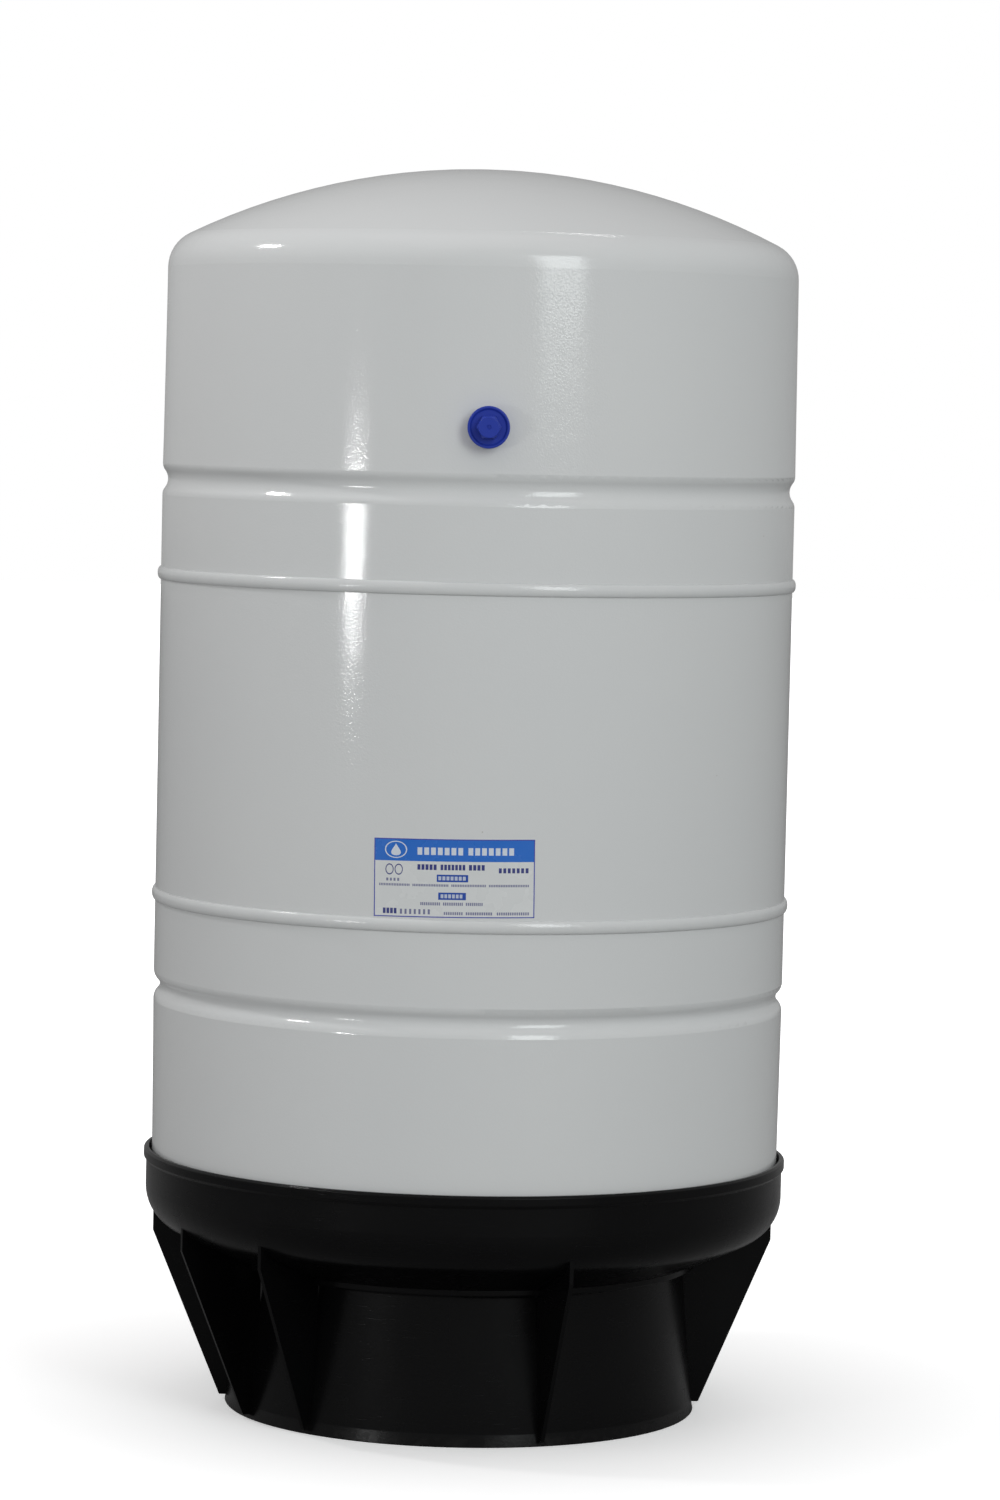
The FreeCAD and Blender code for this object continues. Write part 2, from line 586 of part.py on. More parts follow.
# ---- Valve cap ----
CAP_BORE = CAP_THREAD_RADIUS + CAP_BORE_CLEARANCE
CAP_WASHER_TOP = STEM_TIP + CAP_WASHER_THICKNESS
CAP_FRONT = CAP_WASHER_TOP + CAP_END_WALL
CAP_SKIRT_RADIUS = VALVE_NUT_FLATS / math.sqrt(3) + CAP_NUT_GAP + CAP_SKIRT_WALL
CAP_RIM_RADIUS = CAP_SKIRT_RADIUS + CAP_RIM_DRAFT
CAP_DISH_W = NUT_TOP + CAP_NUT_END_GAP + CAP_FLOOR
CAP_RIM_W = CAP_DISH_W + CAP_DISH_DEPTH


def valve_cap():
    """A dished disc with a skirt over the nut, and a tapered hexagon to turn it by."""
    rim = CAP_RIM_RADIUS
    dish_r = rim - 2.4
    shell = spin(outline([(0, CAP_LIP), (CAP_SKIRT_RADIUS, CAP_LIP, 0.3), (rim, CAP_RIM_W, 0.7),
                          (rim - 1.5, CAP_RIM_W, 0.5), (dish_r, CAP_DISH_W, 0.8), (0, CAP_DISH_W)]))
    low = CAP_DISH_W - CAP_FLOOR / 2
    boss = Part.makeLoft([hexagon(CAP_HEX_BASE, low), hexagon(CAP_HEX_TOP, CAP_FRONT)], True, True)
    corner = CAP_HEX_TOP / math.sqrt(3)
    crown = spin(outline([(0, low), (2 * corner, low), (2 * corner, CAP_FRONT - 2 * corner + 0.35 * corner),
                          (corner - 0.65 * corner + 0.5 * corner, CAP_FRONT, 0.6), (0, CAP_FRONT)]))
    gate = spin(outline([(0.5, CAP_FRONT - 0.5), (GATE_RADIUS - 0.5, CAP_FRONT - 0.5),
                         (GATE_RADIUS, CAP_FRONT + 0.1), (0.35, CAP_FRONT + 0.1)]))
    cavity = rod(CAP_SKIRT_RADIUS - CAP_SKIRT_WALL, CAP_LIP - 1, CAP_DISH_W - CAP_FLOOR)
    bore = rod(CAP_BORE, CAP_LIP, CAP_WASHER_TOP)
    whole = shell.fuse(boss.common(crown)).removeSplitter()
    return on_valve(whole.cut(cavity).cut(bore).cut(gate))


def valve_cap_washer():
    return on_valve(rod(CAP_BORE - 0.05, STEM_TIP, CAP_WASHER_TOP))


# ---- Label ----
def name_label():
    low = LOWER_WELD_Z + WELD_HEIGHT / 2 + LABEL_ABOVE_WELD
    turn = math.degrees(LABEL_WIDTH / BODY_RADIUS)
    patch = box_section(BODY_RADIUS, BODY_RADIUS + LABEL_THICKNESS, low, low + LABEL_HEIGHT)
    patch.rotate(V(0, 0, 0), V(0, 0, 1), LABEL_AZIMUTH - turn / 2 - 90)
    return spin(patch, turn)


# ---- Base ----
RIM_TOP = LOWER_KNUCKLE_Z + RIM_ABOVE_KNUCKLE
RIM_INNER_RADIUS = SKIRT_RADIUS + RIM_GAP
COLLAR_RADIUS = DRUM_TOP_RADIUS + COLLAR_STEP
COLLAR_Z = crown_z(COLLAR_RADIUS, -STAND_CLEARANCE - STAND_WALL) - COLLAR_BELOW_CUP
FIN_RADIUS = SKIRT_RADIUS - FIN_INSIDE_SKIRT
FIN_SHOULDER_Z = LOWER_KNUCKLE_Z - FIN_SHOULDER_BELOW_KNUCKLE
FIN_TIP_RADIUS = FOOT_RADIUS + FIN_PAST_FOOT


def cup_section(offset, rim_radius, top):
    """Everything inside a cup that follows the lower head at this offset, up to top."""
    edges = head_edges(LOWER_CROWN_Z, -1, -offset)
    side = at(SKIRT_RADIUS + offset, LOWER_KNUCKLE_Z)
    edges += [line(side, at(rim_radius, top)),
              line(at(rim_radius, top), at(0, top)),
              line(at(0, top), at(0, TANK_BOTTOM - offset))]
    return face(edges)


def base_stand():
    """One moulding: rim and cup, drum with a flared foot, radial fins and a pipe notch."""
    outer = SKIRT_RADIUS + STAND_CLEARANCE + STAND_WALL
    lip_low = RIM_TOP - RIM_LIP_HEIGHT
    cup = cup_section(STAND_CLEARANCE + STAND_WALL, outer, RIM_TOP - 1)
    lip = outline([(RIM_INNER_RADIUS - 2, lip_low - 2), (outer, lip_low - 2), (outer + RIM_LIP, lip_low, 1.0),
                   (outer + RIM_LIP, RIM_TOP - 1.2, 0.8), (outer - 0.2, RIM_TOP, 0.5),
                   (RIM_INNER_RADIUS - 2, RIM_TOP)])
    foot_inner = FOOT_RADIUS - FOOT_FLARE - DRUM_WALL
    drum = outline([(0, 0), (FOOT_RADIUS - FOOT_CHAMFER, 0), (FOOT_RADIUS, FOOT_CHAMFER),
                    (FOOT_RADIUS - FOOT_FLARE, FOOT_HEIGHT, 4.0),
                    (DRUM_TOP_RADIUS, COLLAR_Z, 2.0), (COLLAR_RADIUS, COLLAR_Z, 1.2),
                    (COLLAR_RADIUS, LOWER_KNUCKLE_Z), (0, LOWER_KNUCKLE_Z)])
    seat_inner = DRUM_TOP_RADIUS - DRUM_WALL
    seat_outer = DRUM_TOP_RADIUS + 1
    drum_void = outline([(0, -5), (foot_inner, -5), (foot_inner, 0), (seat_inner, COLLAR_Z),
                         (seat_inner, LOWER_KNUCKLE_Z), (0, LOWER_KNUCKLE_Z)])
    clear = cup_section(STAND_CLEARANCE, RIM_INNER_RADIUS, RIM_TOP + 0.01)
    clear = clear.cut(box_section(-1, seat_outer, 0, crown_z(seat_outer, 0) + 0.01))
    seat = cup_section(0, SKIRT_RADIUS, RIM_TOP + 0.01)
    voids = [spin(clear), spin(seat), spin(drum_void)]
    body = spin(cup).fuse([spin(lip), spin(drum)])
    inner = (foot_inner + seat_inner) / 2 + DRUM_WALL / 2
    fin_face = outline([(inner, FIN_FOOT_Z), (FIN_TIP_RADIUS, FIN_FOOT_Z, 1.0), (FIN_RADIUS, FIN_SHOULDER_Z, 1.5),
                        (FIN_RADIUS, LOWER_KNUCKLE_Z), (inner, LOWER_KNUCKLE_Z)])
    fin_face.translate(V(0, -FIN_THICKNESS / 2, 0))
    fin = fin_face.extrude(V(0, FIN_THICKNESS, 0))
    fins = []
    for azimuth in FIN_AZIMUTHS:
        for side in (0, 180):
            one = fin.copy()
            one.rotate(V(0, 0, 0), V(0, 0, 1), azimuth - 90 + side)
            fins.append(one)
    arch_z = NOTCH_HEIGHT - NOTCH_WIDTH / 2
    notch = Part.makeBox(NOTCH_WIDTH, 60, arch_z + 1, V(-NOTCH_WIDTH / 2, DRUM_TOP_RADIUS - 30, -1))
    arch = Part.makeCylinder(NOTCH_WIDTH / 2, 60, V(0, DRUM_TOP_RADIUS - 30, arch_z), V(0, 1, 0))
    return body.fuse(fins).cut(voids + [notch, arch]).removeSplitter()


NODES = {
    "upper_shell": upper_shell,
    "middle_shell": middle_shell,
    "lower_shell": lower_shell,
    "upper_girth_weld": lambda: girth_weld(UPPER_WELD_Z),
    "lower_girth_weld": lambda: girth_weld(LOWER_WELD_Z),
    "water_liner": water_liner,
    "diaphragm": diaphragm,
    "diaphragm_pad": diaphragm_pad,
    "clamp_hoop": clamp_hoop,
    "water_connection": water_connection,
    "connection_o_ring": connection_o_ring,
    "connection_washer": connection_washer,
    "connection_lock_nut": connection_lock_nut,
    "valve_stem": valve_stem,
    "valve_stem_gasket": valve_stem_gasket,
    "valve_washer": valve_washer,
    "valve_lock_nut": valve_lock_nut,
    "valve_core_body": valve_core_body,
    "valve_core_seal": valve_core_seal,
    "valve_pin": valve_pin,
    "valve_pin_seat": valve_pin_seat,
    "valve_pin_spring": valve_pin_spring,
    "valve_cap": valve_cap,
    "valve_cap_washer": valve_cap_washer,
    "name_label": name_label,
    "base_stand": base_stand,
}

os.makedirs("parts", exist_ok=True)
for name, make in NODES.items():
    piece = make()
    if len(piece.Solids) != 1 or not piece.isValid():
        raise ValueError(f"{name}: {len(piece.Solids)} solids, valid {piece.isValid()}")
    solid = piece.Solids[0]
    solid.exportStep(f"parts/{name}.step")
    print(f"{name:22s} {solid.Volume / 1000:10.3f} cm3  {solid.BoundBox}")
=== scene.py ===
"""Looks of a pre-charged water storage tank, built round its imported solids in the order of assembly.

Metres, +Z up the tank's axis, -Y towards the side with the air valve and the label.
"""
import math

import bpy
from mathutils import Matrix, Vector


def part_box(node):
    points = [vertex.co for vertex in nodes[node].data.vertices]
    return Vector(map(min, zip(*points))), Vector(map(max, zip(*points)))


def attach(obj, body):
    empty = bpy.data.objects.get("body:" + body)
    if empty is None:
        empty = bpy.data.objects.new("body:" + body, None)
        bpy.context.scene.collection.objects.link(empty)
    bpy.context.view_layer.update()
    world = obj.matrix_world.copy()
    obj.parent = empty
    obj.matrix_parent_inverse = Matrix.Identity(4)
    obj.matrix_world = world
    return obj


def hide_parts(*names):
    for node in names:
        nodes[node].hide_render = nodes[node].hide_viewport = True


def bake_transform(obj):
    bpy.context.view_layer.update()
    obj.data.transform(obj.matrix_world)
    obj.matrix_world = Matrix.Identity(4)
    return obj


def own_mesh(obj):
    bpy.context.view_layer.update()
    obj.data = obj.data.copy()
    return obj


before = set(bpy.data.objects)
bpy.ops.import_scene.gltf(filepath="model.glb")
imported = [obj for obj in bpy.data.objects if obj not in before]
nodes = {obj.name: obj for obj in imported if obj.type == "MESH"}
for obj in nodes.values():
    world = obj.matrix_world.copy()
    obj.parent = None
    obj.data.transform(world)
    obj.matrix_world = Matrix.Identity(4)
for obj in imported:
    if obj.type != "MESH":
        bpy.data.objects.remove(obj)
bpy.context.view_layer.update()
bpy.ops.object.select_all(action="DESELECT")


# ---------------------------------------------------------------- Steel shells
# Two pressed heads and a rolled middle, sheet steel, joined and then powder coated white as one.
# The coat is glossy, with fine orange peel, slow waves from rolling, and here and there a nib of dust.
def new_material(name):
    """A material with this name, and its node tree."""
    material = bpy.data.materials.new(name)
    material.use_nodes = True
    return material, material.node_tree


def node(tree, kind, values=None, links=None):
    """A node with its socket values and its incoming links, each by socket name or number."""
    made = tree.nodes.new(kind)
    for key, value in (values or {}).items():
        if isinstance(key, str) and key.islower():
            setattr(made, key, value)
        else:
            made.inputs[key].default_value = value
    for key, source in (links or {}).items():
        tree.links.new(source, made.inputs[key])
    return made


def math_node(tree, operation, *terms):
    """The result of a Math node; each term is a number or a socket."""
    made = node(tree, "ShaderNodeMath", {"operation": operation})
    for i, term in enumerate(terms):
        if isinstance(term, (int, float)):
            made.inputs[i].default_value = term
        else:
            tree.links.new(term, made.inputs[i])
    return made.outputs[0]


def ranged(tree, value, low, high, to_low=0.0, to_high=1.0):
    """A value moved from one range to another, and held inside it."""
    made = node(tree, "ShaderNodeMapRange",
                {"From Min": low, "From Max": high, "To Min": to_low, "To Max": to_high},
                {"Value": value})
    return made.outputs[0]


def mixed(tree, factor, first, second):
    """A colour between two, each a colour or a socket."""
    made = node(tree, "ShaderNodeMix", {"data_type": "RGBA"}, {"Factor": factor})
    for title, colour in (("A", first), ("B", second)):
        if isinstance(colour, tuple):
            made.inputs[title].default_value = (*colour, 1)
        else:
            tree.links.new(colour, made.inputs[title])
    return made.outputs["Result"]


def noise(tree, at, scale, detail=2.0, distortion=0.0):
    """Smooth noise at a place, its scale a number or a socket, per metre."""
    made = node(tree, "ShaderNodeTexNoise", {"Detail": detail, "Distortion": distortion}, {"Vector": at})
    if isinstance(scale, float):
        made.inputs["Scale"].default_value = scale
    else:
        tree.links.new(scale, made.inputs["Scale"])
    return made.outputs[0]


def object_place(tree):
    return node(tree, "ShaderNodeTexCoord").outputs["Object"]


def bumped(tree, height, depth):
    """Raise the surface by this height, depth being the metres that a height of 1 stands for."""
    bump = node(tree, "ShaderNodeBump", {"Strength": 1.0, "Distance": depth}, {"Height": height})
    tree.links.new(bump.outputs[0], tree.nodes["Principled BSDF"].inputs["Normal"])


def into_shader(tree, title, source):
    """Feed one input of the material's shader."""
    tree.links.new(source, tree.nodes["Principled BSDF"].inputs[title])


def effect(name, inputs, outputs):
    """A node group with inputs (name, kind, default) and outputs (name, kind)."""
    tree = bpy.data.node_groups.new(name, "ShaderNodeTree")
    for title, kind, default in inputs:
        socket = tree.interface.new_socket(name=title, in_out="INPUT", socket_type="NodeSocket" + kind)
        socket.default_value = default
    for title, kind in outputs:
        tree.interface.new_socket(name=title, in_out="OUTPUT", socket_type="NodeSocket" + kind)
    return tree, tree.nodes.new("NodeGroupInput").outputs, tree.nodes.new("NodeGroupOutput").inputs


def use_effect(tree, group, values=None, links=None):
    """The outputs of a node group placed in this tree, with its own values and links."""
    made = tree.nodes.new("ShaderNodeGroup")
    made.node_tree = group
    for key, value in (values or {}).items():
        made.inputs[key].default_value = value
    for key, source in (links or {}).items():
        tree.links.new(source, made.inputs[key])
    return made.outputs


def finish_packed(material, *names):
    """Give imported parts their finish."""
    for name in names:
        nodes[name].data.materials.clear()
        nodes[name].data.materials.append(material)


WAVES_PER_METRE = 26.0
WAVE_HEIGHT = 1.6              # against a peel of 1
NIB_CELLS_PER_METRE = 34.0
NIB_EDGE, NIB_TOP = 0.022, 0.012
NIB_SHARE = 0.12               # of the cells
NIB_HEIGHT = 0.8


def build_orange_peel():
    """Height of a powder coat: fine peel over slow waves, with a few nibs."""
    tree, given, result = effect(
        "Orange peel",
        [("Position", "Vector", (0, 0, 0)), ("Peel per metre", "Float", 760.0), ("Wave", "Float", 1.0)],
        [("Height", "Float"), ("Nibs", "Float")])
    at = given["Position"]
    fine = noise(tree, at, given["Peel per metre"], 2.0)
    slow = math_node(tree, "MULTIPLY", noise(tree, at, WAVES_PER_METRE, 2.0), given["Wave"])
    cells = node(tree, "ShaderNodeTexVoronoi", {"Scale": NIB_CELLS_PER_METRE}, {"Vector": at})
    near = ranged(tree, cells.outputs["Distance"], NIB_EDGE, NIB_TOP)
    pick = node(tree, "ShaderNodeSeparateColor", None, {0: cells.outputs["Color"]}).outputs[0]
    nibs = math_node(tree, "MULTIPLY", near, math_node(tree, "LESS_THAN", pick, NIB_SHARE))
    height = math_node(tree, "MULTIPLY_ADD", slow, WAVE_HEIGHT, fine)
    tree.links.new(math_node(tree, "MULTIPLY_ADD", nibs, NIB_HEIGHT, height), result["Height"])
    tree.links.new(nibs, result["Nibs"])
    return tree


orange_peel = build_orange_peel()
material, tree = new_material("White powder coat")
place = object_place(tree)
peel = use_effect(tree, orange_peel, None, {"Position": place})
cloud = noise(tree, place, 5.0, 3.0)
shade = mixed(tree, cloud, (0.68, 0.695, 0.70), (0.715, 0.725, 0.72))
into_shader(tree, "Base Color", mixed(tree, peel["Nibs"], shade, (0.5, 0.49, 0.46)))
into_shader(tree, "Roughness", ranged(tree, cloud, 0.3, 0.7, 0.06, 0.11))
bumped(tree, peel["Height"], 0.00006)
finish_packed(material, "lower_shell", "middle_shell", "upper_shell")


# ---------------------------------------------------------------- Girth welds
# A crowned bead of weld metal round each joint between the shells, rippled where the pool froze, and
# coated white with the rest. Each is a ring with a low ridge about every centimetre.
RIDGES = 128
SIDES = 16
RIPPLE_RUN = 9                 # ridges before the ripple repeats
RIPPLE = ((0, 1.0006), (1, 1.0002), (3, 1.0004), (7, 0.9998))      # ridge in the run, swell
ROOT_DEPTH = 0.0006            # of the weld in the joint, inside the shells' surface
CROWN_SHARE = 0.985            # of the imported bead's height, which leaves room for the ripple
material, tree = new_material("White powder coat over weld")
place = object_place(tree)
peel = use_effect(tree, orange_peel, {"Wave": 0.2, "Peel per metre": 900.0}, {"Position": place})
spots = noise(tree, place, 120.0, 2.0)
into_shader(tree, "Base Color", mixed(tree, spots, (0.66, 0.675, 0.68), (0.70, 0.71, 0.705)))
into_shader(tree, "Roughness", ranged(tree, spots, 0.3, 0.7, 0.07, 0.14))
bumped(tree, peel["Height"], 0.00009)
for name in ("lower_girth_weld", "upper_girth_weld"):
    low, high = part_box(name)
    middle, half = (low.z + high.z) / 2, (high.z - low.z) / 2
    shell_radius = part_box("middle_shell")[1].x
    proud = high.x - shell_radius
    bpy.ops.mesh.primitive_torus_add(major_radius=shell_radius, minor_radius=proud * CROWN_SHARE,
                                     major_segments=2 * RIDGES, minor_segments=SIDES,
                                     location=(0, 0, middle))
    bead = bpy.context.object
    bead.name = name + "_bead"
    bpy.ops.object.transform_apply(location=True, rotation=True, scale=True)
    bpy.ops.object.mode_set(mode="EDIT")
    bpy.ops.mesh.select_all(action="SELECT")
    bpy.ops.transform.resize(value=(1, 1, half / proud), center_override=(0, 0, middle))
    for ridge, swell in RIPPLE:
        bpy.ops.object.mode_set(mode="OBJECT")
        for i, corner in enumerate(bead.data.vertices):
            ring = i // SIDES
            on_ridge = ring % 2 == 0 and ring // 2 % RIPPLE_RUN == ridge
            corner.select = on_ridge or (ring % 4 == 0 and ridge == 0)
        bpy.ops.object.mode_set(mode="EDIT")
        bpy.ops.mesh.select_mode(type="VERT")
        bpy.ops.transform.resize(value=(swell, swell, 1), center_override=(0, 0, middle))
    bpy.ops.object.mode_set(mode="OBJECT")
    root = shell_radius - ROOT_DEPTH
    for corner in bead.data.vertices:
        reach = math.hypot(corner.co.x, corner.co.y)
        if reach < root:
            corner.co.x *= root / reach
            corner.co.y *= root / reach
    bpy.ops.object.shade_smooth()
    bead.data.materials.append(material)
    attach(bead, "tank")
    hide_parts(name)
    bpy.ops.object.select_all(action="DESELECT")


# ---------------------------------------------------------------- Water liner
# Natural polypropylene, formed to the lower head and clipped up to the clamp. It keeps the water off the
# steel. The pad on the diaphragm's middle is the same plastic.
def build_moulded_skin():
    """Height and tone of an injection moulded skin: faint flow, tiny pits and hairline scuffs."""
    tree, given, result = effect(
        "Moulded skin",
        [("Position", "Vector", (0, 0, 0)), ("Grain per metre", "Float", 900.0)],
        [("Height", "Float"), ("Flow", "Float"), ("Scuffs", "Float")])
    at = given["Position"]
    drawn = node(tree, "ShaderNodeMapping", {"Scale": (60.0, 60.0, 900.0)}, {"Vector": at}).outputs[0]
    hair = ranged(tree, noise(tree, drawn, 1.0, 2.0), 0.66, 0.74)
    fine = noise(tree, at, given["Grain per metre"], 3.0)
    tree.links.new(math_node(tree, "MULTIPLY_ADD", hair, -0.6, fine), result["Height"])
    tree.links.new(noise(tree, at, 9.0, 4.0, 1.2), result["Flow"])
    tree.links.new(hair, result["Scuffs"])
    return tree


moulded_skin = build_moulded_skin()


def moulded_plastic(name, dark, light, gloss, grain, depth):
    """A moulded plastic between two tones, with its roughness range, grain per metre and bump depth."""
    material, tree = new_material(name)
    skin = use_effect(tree, moulded_skin, {"Grain per metre": grain}, {"Position": object_place(tree)})
    into_shader(tree, "Base Color", mixed(tree, skin["Flow"], dark, light))
    base = ranged(tree, skin["Flow"], 0.3, 0.7, *gloss)
    into_shader(tree, "Roughness", math_node(tree, "MULTIPLY_ADD", skin["Scuffs"], 0.18, base))
    bumped(tree, skin["Height"], depth)
    return material, tree, skin


natural_plastic = moulded_plastic("Natural polypropylene", (0.80, 0.80, 0.77), (0.87, 0.88, 0.86),
                                  (0.38, 0.5), 500.0, 0.00004)[0]
finish_packed(natural_plastic, "water_liner", "diaphragm_pad")


# ---------------------------------------------------------------- Water connection
# Turned stainless: a flange that seals on the liner, a shank through the shell with its lock nut, and
# the pipe thread below. Turning leaves fine lines round the axis.
def build_turning_lines():
    """Height and tone of metal turned about Z."""
    tree, given, result = effect(
        "Turning lines",
        [("Position", "Vector", (0, 0, 0)), ("Lines per metre", "Float", 2500.0)],
        [("Height", "Float"), ("Tone", "Float")])
    apart = node(tree, "ShaderNodeSeparateXYZ", None, {0: given["Position"]}).outputs
    flat = node(tree, "ShaderNodeCombineXYZ", None, {0: apart[0], 1: apart[1]}).outputs[0]
    reach = node(tree, "ShaderNodeVectorMath", {"operation": "LENGTH"}, {0: flat}).outputs["Value"]
    drawn = node(tree, "ShaderNodeCombineXYZ", None, {0: reach, 1: apart[2]}).outputs[0]
    tree.links.new(noise(tree, drawn, given["Lines per metre"], 2.0), result["Height"])
    tree.links.new(noise(tree, given["Position"], 70.0, 3.0), result["Tone"])
    return tree


turning_lines = build_turning_lines()


def turned_metal(name, dark, light, gloss, lines, mapping=None):
    """Turned metal between two tones; mapping turns and centres the work's axis on Z."""
    material, tree = new_material(name)
    place = object_place(tree)
    if mapping:
        place = node(tree, "ShaderNodeMapping", mapping, {"Vector": place}).outputs[0]
    turned = use_effect(tree, turning_lines, {"Lines per metre": lines}, {"Position": place})
    tree.nodes["Principled BSDF"].inputs["Metallic"].default_value = 1.0
    into_shader(tree, "Base Color", mixed(tree, turned["Tone"], dark, light))
    into_shader(tree, "Roughness", ranged(tree, turned["Tone"], 0.3, 0.7, *gloss))
    bumped(tree, turned["Height"], 0.00001)
    return material


stainless = turned_metal("Turned stainless", (0.58, 0.575, 0.56), (0.70, 0.695, 0.685), (0.22, 0.36),
                         2200.0)
finish_packed(stainless, "water_connection", "connection_lock_nut")


# ---------------------------------------------------------------- Seals
# Moulded black rubber: the connection's ring and washer, the valve's gasket, the pin's seat and the disc
# in the cap. Matt, with fine grain and a grey bloom.
def rubber(name, dark, light, grain):
    """A black rubber between two tones, with its grain per metre."""
    material, tree = new_material(name)
    place = object_place(tree)
    bloom = noise(tree, place, 45.0, 4.0)
    into_shader(tree, "Base Color", mixed(tree, ranged(tree, bloom, 0.45, 0.75), dark, light))
    into_shader(tree, "Roughness", ranged(tree, bloom, 0.3, 0.7, 0.55, 0.75))
    bumped(tree, noise(tree, place, grain, 3.0), 0.00003)
    return material


seal_rubber = rubber("Seal rubber", (0.018, 0.018, 0.018), (0.04, 0.04, 0.042), 2500.0)
finish_packed(seal_rubber, "connection_o_ring", "connection_washer", "valve_stem_gasket",
              "valve_pin_seat", "valve_cap_washer")


# ---------------------------------------------------------------- Diaphragm
# One butyl moulding: a rim held under the hoop, a web, a hanging bowl and a flat boss that carries the
# pad.
low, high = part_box("diaphragm")
hoop_low, hoop_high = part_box("clamp_hoop")
pad_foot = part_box("diaphragm_pad")[0].z
WALL = 0.002
CROWN = 0.4126                 # radius of the hanging bowl's crown
KNUCKLE = 0.036
NECK = 0.1917                  # radius of the bowl where it meets the web
NECK_LEAN = 0.004              # how much narrower the bowl is at the top of its knuckle
FLAT = 0.02                    # radius of the flat in the middle of the crown
SEAT, SEAT_DEPTH = 0.0395, 0.0004      # step round the seat of the pad
HOOP_GAP = 0.0005
LIP = 0.0018                   # how far the rim's lip reaches past the hoop
LIP_HEIGHT = 0.003
LIP_CORNER = 0.001
SNUG = 0.0001
rim_inside = hoop_high.x
web_top = hoop_low.z - HOOP_GAP
lip_top = hoop_low.z + LIP_HEIGHT
crown_middle = low.z + CROWN
knuckle_radius = NECK - NECK_LEAN - KNUCKLE
knuckle_turn = math.asin(knuckle_radius / (CROWN - KNUCKLE))
knuckle_middle = crown_middle - (CROWN - KNUCKLE) * math.cos(knuckle_turn)


def bowl_line(inset):
    """Corners (radius, height) of the bowl's surface, from the crown to the neck."""
    line = []
    for step in range(4, 13):
        a = knuckle_turn * step / 12
        line.append(((CROWN - inset) * math.sin(a), crown_middle - (CROWN - inset) * math.cos(a)))
    for step in range(1, 7):
        a = knuckle_turn + (math.pi / 2 - knuckle_turn) * step / 6
        reach = KNUCKLE - inset
        line.append((knuckle_radius + reach * math.sin(a), knuckle_middle - reach * math.cos(a)))
    return line


outside = [(FLAT, low.z + 0.0003)] + bowl_line(0.0) + [(NECK, web_top - WALL)]
outside += [(rim_inside + LIP - LIP_CORNER, web_top - WALL),
            (rim_inside + LIP, web_top - WALL + LIP_CORNER),
            (rim_inside + LIP, lip_top), (rim_inside + SNUG, lip_top)]
inside = [(rim_inside + SNUG, web_top), (NECK - WALL, web_top)] + bowl_line(WALL)[::-1]
inside += [(SEAT, pad_foot - SEAT_DEPTH), (SEAT - 0.001, pad_foot), (FLAT, pad_foot)]
bpy.ops.mesh.primitive_circle_add(vertices=128, radius=outside[0][0], fill_type="TRIFAN",
                                  location=(0, 0, outside[0][1]))
bowl = bpy.context.object
bowl.name = "diaphragm_rubber"
bpy.ops.object.transform_apply(location=True, rotation=True, scale=True)
bpy.ops.object.mode_set(mode="EDIT")
bpy.ops.mesh.select_all(action="DESELECT")
bpy.ops.object.mode_set(mode="OBJECT")
for corner in bowl.data.vertices:
    corner.select = math.hypot(corner.co.x, corner.co.y) > 0.001
bpy.ops.object.mode_set(mode="EDIT")
bpy.ops.mesh.select_mode(type="VERT")
bpy.ops.mesh.select_mode(type="EDGE")
bpy.ops.mesh.region_to_loop()
last_radius, last_height = outside[0]
for radius, height in (outside + inside)[1:]:
    bpy.ops.mesh.extrude_region_move()
    grow = radius / last_radius
    bpy.ops.transform.resize(value=(grow, grow, 1), center_override=(0, 0, 0))
    bpy.ops.transform.translate(value=(0, 0, height - last_height))
    last_radius, last_height = radius, height
bpy.ops.mesh.edge_face_add()
bpy.ops.mesh.select_all(action="SELECT")
bpy.ops.mesh.normals_make_consistent(inside=False)
bpy.ops.object.mode_set(mode="OBJECT")
bpy.ops.object.shade_smooth_by_angle(angle=math.radians(35))
butyl = rubber("Butyl rubber", (0.02, 0.02, 0.022), (0.05, 0.05, 0.052), 1500.0)
bowl.data.materials.append(butyl)
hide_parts("diaphragm")
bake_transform(bowl)
bpy.ops.object.select_all(action="DESELECT")


# ---------------------------------------------------------------- Clamp hoop and valve washer
# Zinc plated steel strip, rolled into the groove over the liner and the diaphragm's rim. The plating is
# cloudy, with a faint straw and blue tint. The washer under the valve's nut is plated too.
material, tree = new_material("Zinc plate")
place = object_place(tree)
spangle = node(tree, "ShaderNodeTexVoronoi", {"Scale": 260.0}, {"Vector": place}).outputs["Distance"]
haze = noise(tree, place, 22.0, 4.0)
tint = mixed(tree, haze, (0.60, 0.585, 0.52), (0.60, 0.63, 0.66))
cloudy = mixed(tree, math_node(tree, "MULTIPLY", spangle, 0.4), tint, (0.5, 0.5, 0.49))
into_shader(tree, "Base Color", cloudy)
into_shader(tree, "Roughness", ranged(tree, haze, 0.3, 0.7, 0.28, 0.42))
tree.nodes["Principled BSDF"].inputs["Metallic"].default_value = 1.0
bumped(tree, noise(tree, place, 900.0, 2.0), 0.000012)
finish_packed(material, "clamp_hoop", "valve_washer")


